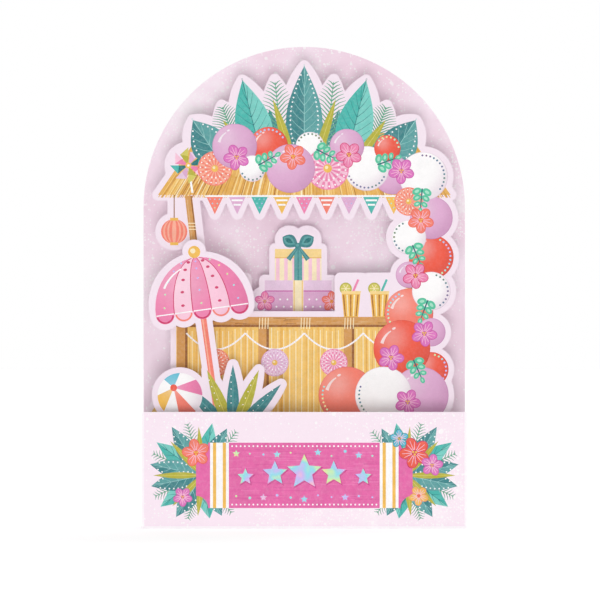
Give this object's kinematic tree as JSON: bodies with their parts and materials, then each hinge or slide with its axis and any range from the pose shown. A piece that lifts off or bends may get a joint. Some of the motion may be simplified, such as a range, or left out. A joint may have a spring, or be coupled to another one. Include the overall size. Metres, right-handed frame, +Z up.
{
  "type": "pop up greeting card",
  "caption": "Opened pop up card that stands by itself: an arched back panel, die-cut party hut layers and a low front panel, carried one behind the other by pleated side strips.",
  "frame": {"origin": "on the surface that the card stands on, under the middle of the opened card", "axes": "+Z up, -Y out of the front panel towards the viewer, +X to the viewer's right"},
  "size_m": [0.159, 0.0404, 0.237],
  "materials": {
    "printed_board": "smooth uncoated board, printed pale lilac",
    "printed_card": "smooth uncoated card, printed, with a pale die-cut border",
    "strip_paper": "plain pale paper"
  },
  "bodies": {
    "root": {"back_panel": "printed_board", "gift_layer": "printed_card", "hut_layer": "printed_card", "parasol_layer": "printed_card", "front_panel": "printed_board", "left_concertina": "strip_paper", "right_concertina": "strip_paper", "left_spacer": "strip_paper", "right_spacer": "strip_paper"}
  },
  "joints": []
}
